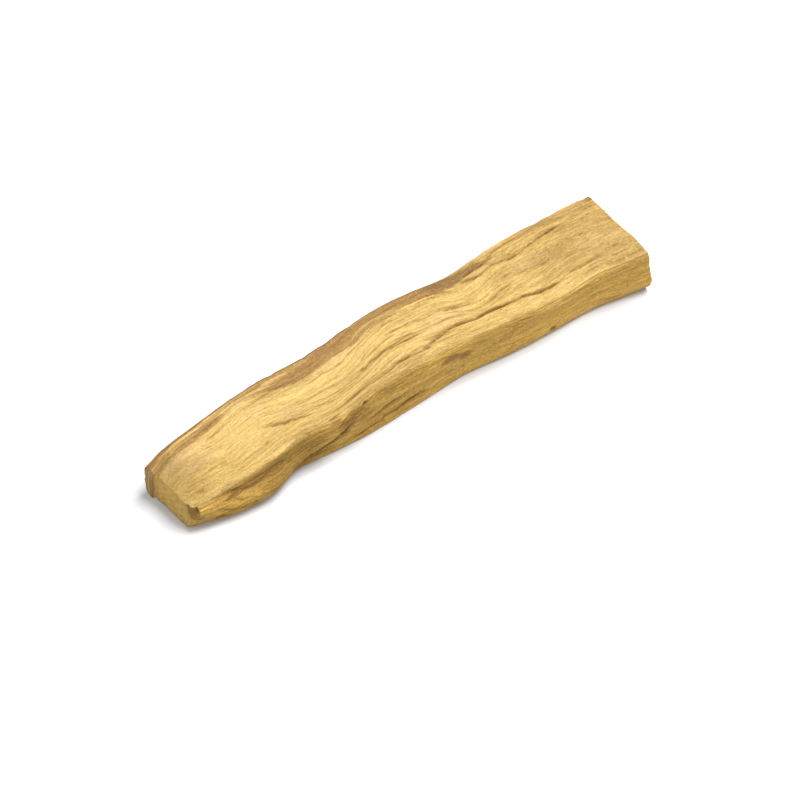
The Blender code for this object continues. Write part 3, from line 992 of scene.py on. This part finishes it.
def streaks_group():
    """Soft streaks along the grain, from 0 to 1."""
    tree, given, result = new_group("wood streaks", {"Length": 30.0, "Width": 1.0, "Detail": 3.0}, "Streak")
    place = stretched(tree, given.outputs["Place"], given.outputs["Length"], given.outputs["Width"])
    sockets = {"Vector": place, "Scale": 1.0, "Roughness": 0.6, "Distortion": 0.15}
    sockets["Detail"] = given.outputs["Detail"]
    pattern = add(tree, "ShaderNodeTexNoise", sockets, noise_dimensions="3D").outputs["Fac"]
    tree.links.new(between(tree, pattern, 0.28, 0.72, False), result.inputs["Streak"])
    return tree


def lines_group():
    """Thin dark lines along the grain: 1 on a line, 0 between."""
    tree, given, result = new_group("grain lines", {"Length": 30.0, "Width": 1.0, "Thickness": 0.04}, "Line")
    place = stretched(tree, given.outputs["Place"], given.outputs["Length"], given.outputs["Width"])
    sockets = {"Vector": place, "Scale": 1.0, "Detail": 1.5, "Roughness": 0.5}
    pattern = add(tree, "ShaderNodeTexNoise", sockets, noise_dimensions="3D").outputs["Fac"]
    off = math_of(tree, "ABSOLUTE", math_of(tree, "SUBTRACT", pattern, 0.5))
    line = math_of(tree, "SUBTRACT", 1.0, between(tree, off, 0.0, given.outputs["Thickness"]))
    tree.links.new(line, result.inputs["Line"])
    return tree


def pores_group():
    """Short brown dashes where the wood's vessels are cut: 1 in a dash, 0 between."""
    tree, given, result = new_group("wood pores", {"Length": 3.0, "Width": 0.4, "Size": 0.22}, "Pore")
    place = stretched(tree, given.outputs["Place"], given.outputs["Length"], given.outputs["Width"])
    cells = add(tree, "ShaderNodeTexVoronoi", {"Vector": place, "Scale": 1.0}, feature="F1")
    chance = add(tree, "ShaderNodeSeparateXYZ", {0: cells.outputs["Color"]}).outputs[0]
    size = times(tree, given.outputs["Size"], chance)
    inside = math_of(tree, "SUBTRACT", size, cells.outputs["Distance"])
    tree.links.new(between(tree, inside, 0.0, 0.08), result.inputs["Pore"])
    return tree


def rings_group():
    """The growth rings that the saw cuts across: 1.5 in the darkest wood, 0.5 in the palest."""
    tree, given, result = new_group("growth rings", {"Pitch": 1.4, "Wobble": 0.6}, "Ring")
    apart = add(tree, "ShaderNodeSeparateXYZ", {0: given.outputs["Place"]})
    wobble = add(tree, "ShaderNodeTexNoise", {"Vector": given.outputs["Place"], "Scale": 0.25, "Detail": 3.0})
    side = math_of(tree, "SUBTRACT", apart.outputs["Y"], RING_CENTRE[0])
    rise = math_of(tree, "SUBTRACT", apart.outputs["Z"], RING_CENTRE[1])
    squared = times(tree, side, side)
    squared = plus(tree, squared, times(tree, rise, rise))
    wobbled = times(tree, wobble.outputs["Fac"], given.outputs["Wobble"])
    radius = plus(tree, math_of(tree, "SQRT", squared), wobbled)
    turn = times(tree, math_of(tree, "DIVIDE", radius, given.outputs["Pitch"]), math.tau)
    ring = plus(tree, times(tree, math_of(tree, "SINE", turn), 0.5), 1.0)
    tree.links.new(ring, result.inputs["Ring"])
    return tree


def place_group(tree, group, place, **values):
    """The output of a node group placed in a material with its own values."""
    made = tree.nodes.new("ShaderNodeGroup")
    made.node_tree = group
    tree.links.new(place, made.inputs["Place"])
    for name, value in values.items():
        made.inputs[name].default_value = value
    return made.outputs[0]


def attribute(tree, name, output):
    """The output of an Attribute node that reads the piece's own attribute."""
    return add(tree, "ShaderNodeAttribute", attribute_name=name, attribute_type="GEOMETRY").outputs[output]


def patterns_in(tree, groups, place, patterns):
    """The outputs of these patterns, placed in a material at a place in the wood."""
    masks = {}
    for name, (kind, length, width, measure) in patterns.items():
        values = {"Length": length, "Width": width, MEASURE[kind]: measure}
        masks[name] = place_group(tree, groups[kind], place, **values)
    return masks


def layered(tree, colour, layers, masks, looks):
    """The colour with layers of tint laid over it."""
    for name, start, full, share, tint in layers:
        mask = masks[name] if (start, full) == (0, 1) else between(tree, masks[name], start, full)
        mask = times(tree, mask, share)
        if (name, tint) in FADING:
            mask = times(tree, mask, masks["torn"])
        colour = mix_of(tree, mask, colour, getattr(looks, tint))
    return colour


def wood_material(looks):
    """Dry, unpolished palo santo: pale gold, with brown heartwood, fine torn grain and painted shade."""
    material = bpy.data.materials.new("palo_santo")
    material.use_nodes = True
    tree = material.node_tree
    shader = tree.nodes["Principled BSDF"]
    groups = {"streaks": streaks_group(), "lines": lines_group(), "pores": pores_group()}
    fibre = attribute(tree, "fibre", "Vector")
    masks = {name: attribute(tree, name, "Fac") for name in MASKS}
    masks.update(patterns_in(tree, groups, fibre, PATTERNS))
    along = add(tree, "ShaderNodeSeparateXYZ", {0: fibre}).outputs["X"]
    fading = times(tree, between(tree, along, *SMOOTHER_END), 1 - FAINTEST)
    masks["torn"] = plus(tree, fading, FAINTEST)

    paleness = math_of(tree, "ADD", times(tree, masks["broad"], BROAD_PALE), masks["pale"], clamp=True)
    gold = mix_of(tree, paleness, looks.gold, looks.pale)
    gold = layered(tree, gold, SAPWOOD_LAYERS, masks, looks)
    brown = layered(tree, looks.heartwood, HEARTWOOD_LAYERS, masks, looks)

    fray = times(tree, math_of(tree, "SUBTRACT", masks["strand"], 0.5), STRAND_FRAY)
    frayed = plus(tree, masks["heartwood"], fray)
    frayed = math_of(tree, "SUBTRACT", frayed, times(tree, masks["peach"], PEACH_CLEARS))
    cover = between(tree, frayed, *HEARTWOOD_SPAN)
    cover = times(tree, cover, between(tree, masks["heartwood"], *HEARTWOOD_SHOWS))
    colour = mix_of(tree, cover, gold, brown)
    # Painted shade: the steep faces and the deep tints are multiplied darker.
    colour = mix_of(tree, masks["flank_shade"], colour, looks.flank_shade, "MULTIPLY")
    colour = mix_of(tree, masks["deep"], colour, looks.painted_shade, "MULTIPLY")
    start, full, share = FLANK_SPECKS
    specks = times(tree, between(tree, masks["grit"], start, full), share)
    colour = mix_of(tree, times(tree, specks, masks["flank_shade"]), colour, looks.dark_grain_and_shade)

    cut = add(tree, "ShaderNodeVectorMath", operation="SCALE")
    tree.links.new(add(tree, "ShaderNodeTexCoord").outputs["Object"], cut.inputs[0])
    cut.inputs["Scale"].default_value = 1 / MM
    masks.update(patterns_in(tree, groups, cut.outputs[0], SAWN_PATTERNS))
    masks["ring"] = place_group(tree, rings_group(), cut.outputs[0], Pitch=RING_PITCH, Wobble=RING_WOBBLE)
    end_grain = layered(tree, looks.sawn, SAWN_LAYERS, masks, looks)
    colour = mix_of(tree, masks["sawn"], colour, end_grain)
    # Painted shade: splits, grooves, pits and broken recesses are darkened towards the dark grain colour, the
    # more the deeper they are.
    start, full, share = HOLLOW_SHADE
    dark = times(tree, between(tree, masks["hollow_shade"], start, full), share)
    tree.links.new(mix_of(tree, dark, colour, looks.dark_grain_and_shade), shader.inputs["Base Color"])

    rough = plus(tree, times(tree, masks["fine"], FINE_ROUGHNESS), looks.roughness)
    rough = math_of(tree, "ADD", rough, times(tree, masks["sawn"], SAWN_ROUGHNESS), clamp=True)
    tree.links.new(rough, shader.inputs["Roughness"])
    shader.inputs["Specular IOR Level"].default_value = looks.gloss

    height = times(tree, masks["fine"], masks["torn"])
    height = plus(tree, height, times(tree, masks["medium"], STREAK_HEIGHT))
    height = plus(tree, height, times(tree, masks["grit"], GRIT_HEIGHT))
    dashes = plus(tree, masks["pore"], masks["line"])
    height = math_of(tree, "SUBTRACT", height, times(tree, dashes, DASH_DEPTH))
    sockets = {"Height": height, "Strength": FUZZ_STRENGTH, "Distance": looks.fuzz}
    tree.links.new(add(tree, "ShaderNodeBump", sockets).outputs["Normal"], shader.inputs["Normal"])
    return material


def plain_material(name, colour, roughness):
    """A plain matt material."""
    material = bpy.data.materials.new(name)
    material.use_nodes = True
    shader = material.node_tree.nodes["Principled BSDF"]
    shader.inputs["Base Color"].default_value = colour
    shader.inputs["Roughness"].default_value = roughness
    shader.inputs["Specular IOR Level"].default_value = 0.2
    return material


def colour_property(name, description, colour):
    """A colour that the user can change."""
    return FloatVectorProperty(
        name=name, description=description, subtype="COLOR", size=4, min=0.0, max=1.0, default=(*colour, 1.0)
    )


class StickSizes(bpy.types.PropertyGroup):
    """How finely the stick's surface is divided."""

    along: IntProperty(name="Faces along", description="Faces along the grain", default=256, min=20, max=400)
    across: IntProperty(name="Faces across", description="Faces across the top", default=120, min=10, max=200)
    up: IntProperty(name="Faces up", description="Faces up each side", default=44, min=6, max=100)


class WoodLooks(bpy.types.PropertyGroup):
    """The colours and finish of the wood."""

    gold: colour_property("Gold", "The sapwood between its pale streaks", (0.665, 0.440, 0.127))
    pale: colour_property("Pale gold", "The pale streaks of the sapwood", (0.790, 0.555, 0.190))
    peach: colour_property("Peach", "The peach tint in parts of the sapwood", (0.770, 0.515, 0.240))
    deep: colour_property("Deep gold", "The darker grain", (0.420, 0.240, 0.062))
    # The painted shade that the deep tints multiply in.
    painted_shade: colour_property("Shade", "The tint of the duller places", (0.55, 0.52, 0.42))
    # The painted shade of the steep faces.
    flank_shade: colour_property("Flanks", "The tint that the steep faces take on", (0.96, 0.86, 0.54))
    sawn: colour_property("Sawn wood", "The sawn ends", (0.69, 0.440, 0.110))
    heartwood: colour_property("Heartwood", "The brown band", (0.285, 0.148, 0.043))
    heartwood_light: colour_property(
        "Light heartwood", "The brown band's pale streaks", (0.40, 0.222, 0.073)
    )
    # The dark of the grain lines and specks, and the painted shade at the bottom of splits, grooves and pits.
    dark_grain_and_shade: colour_property("Crevice", "The bottom of splits and grooves", (0.27, 0.145, 0.028))
    pore: colour_property("Pore", "The short dashes of cut vessels", (0.32, 0.165, 0.050))
    roughness: FloatProperty(
        name="Roughness", description="Roughness of dry wood", default=0.58, min=0.0, max=1.0
    )
    gloss: FloatProperty(
        name="Gloss", description="Strength of the dull shine", default=0.30, min=0.0, max=1.0
    )
    fuzz: FloatProperty(
        name="Fuzz", description="Height of the finest fibres", default=0.00008,
        unit="LENGTH", subtype="DISTANCE",
    )


class StageLooks(bpy.types.PropertyGroup):
    """The camera and the light."""

    azimuth: FloatProperty(
        name="Azimuth", description="How far round from the front the camera stands",
        default=math.radians(-37), subtype="ANGLE", unit="ROTATION",
    )
    elevation: FloatProperty(
        name="Elevation", description="How far above the floor the camera looks from",
        default=math.radians(50), subtype="ANGLE", unit="ROTATION",
    )
    distance: FloatProperty(
        name="Distance", description="From the camera to its aim", default=0.40,
        unit="LENGTH", subtype="DISTANCE",
    )
    aim: FloatVectorProperty(
        name="Aim", description="Where the camera looks", default=(-0.00342, -0.00378, 0.0),
        unit="LENGTH", subtype="TRANSLATION",
    )
    lens: FloatProperty(name="Lens", description="Focal length in millimetres", default=102.0, min=1.0)
    key_power: FloatProperty(
        name="Key light", description="Power of the soft light above", default=121.0, unit="POWER"
    )
    sky: FloatProperty(name="Sky", description="Strength of the white surroundings", default=0.63, min=0.0)


def around(azimuth, elevation):
    """The direction from the stick to something at this azimuth and elevation."""
    flat = math.cos(elevation)
    return Vector((math.sin(azimuth) * flat, -math.cos(azimuth) * flat, math.sin(elevation)))


def place_object(name, data):
    """A new object in the scene."""
    obj = bpy.data.objects.new(name, data)
    bpy.context.scene.collection.objects.link(obj)
    return obj


def aim_at(obj, place, target):
    """Puts a camera or light at a place and turns it to the target."""
    obj.location = place
    obj.rotation_euler = (target - place).to_track_quat("-Z", "Y").to_euler()


class PALO_OT_stick(bpy.types.Operator):
    """Model the split and sawn stick in place of its plain solid"""

    bl_idname = "palo_santo.stick"
    bl_label = "Split wood"

    def execute(self, context):
        stick = place_object("split_wood", stick_mesh(context.scene.palo_sizes))
        stick.data.materials.append(wood_material(context.scene.palo_looks))
        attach(stick, "root")
        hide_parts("stick")
        return {"FINISHED"}


class PALO_OT_stage(bpy.types.Operator):
    """Make the pale floor, the soft light and the camera"""

    bl_idname = "palo_santo.stage"
    bl_label = "Stage"

    def execute(self, context):
        stage = context.scene.palo_stage
        bm = bmesh.new()
        bmesh.ops.create_grid(bm, x_segments=1, y_segments=1, size=FLOOR_SIZE)
        mesh = bpy.data.meshes.new("floor")
        bm.to_mesh(mesh)
        bm.free()
        floor = place_object("floor", mesh)
        mesh.materials.append(plain_material("white_floor", FLOOR_COLOUR, FLOOR_ROUGHNESS))

        key = bpy.data.lights.new("key", "AREA")
        key.shape = "RECTANGLE"
        key.size = LIGHT_SIZE
        key.size_y = LIGHT_SIZE
        key.energy = stage.key_power
        aim_at(place_object("key", key), LIGHT_PLACE, Vector((0.0, 0.0, 0.0)))

        world = bpy.data.worlds.new("white_room")
        world.use_nodes = True
        background = world.node_tree.nodes["Background"]
        background.inputs["Color"].default_value = (1.0, 1.0, 1.0, 1.0)
        background.inputs["Strength"].default_value = stage.sky
        context.scene.world = world
        context.scene.view_settings.view_transform = "Standard"

        lens = bpy.data.cameras.new("camera")
        lens.lens = stage.lens
        lens.clip_start = 0.01
        camera = place_object("camera", lens)
        aim = Vector(stage.aim)
        aim_at(camera, aim + around(stage.azimuth, stage.elevation) * stage.distance, aim)
        context.scene.camera = camera
        return {"FINISHED"}


class PALO_PT_panel(bpy.types.Panel):
    """Lists the stick's sizes, colours and steps"""

    bl_idname = "PALO_PT_panel"
    bl_label = "Palo santo stick"
    bl_space_type = "VIEW_3D"
    bl_region_type = "UI"
    bl_category = "Palo Santo"

    def draw(self, context):
        layout = self.layout
        for group in (context.scene.palo_sizes, context.scene.palo_looks, context.scene.palo_stage):
            box = layout.box()
            for name in group.__annotations__:
                box.prop(group, name)
        for operator in STEPS:
            layout.operator(operator.bl_idname)


STEPS = (PALO_OT_stick, PALO_OT_stage)
CLASSES = (StickSizes, WoodLooks, StageLooks, *STEPS, PALO_PT_panel)


def register():
    for cls in CLASSES:
        bpy.utils.register_class(cls)
    bpy.types.Scene.palo_sizes = PointerProperty(type=StickSizes)
    bpy.types.Scene.palo_looks = PointerProperty(type=WoodLooks)
    bpy.types.Scene.palo_stage = PointerProperty(type=StageLooks)


def unregister():
    del bpy.types.Scene.palo_stage
    del bpy.types.Scene.palo_looks
    del bpy.types.Scene.palo_sizes
    for cls in reversed(CLASSES):
        bpy.utils.unregister_class(cls)


def main():
    register()
    bpy.ops.palo_santo.stick()
    bpy.ops.palo_santo.stage()


if __name__ == "__main__":
    main()
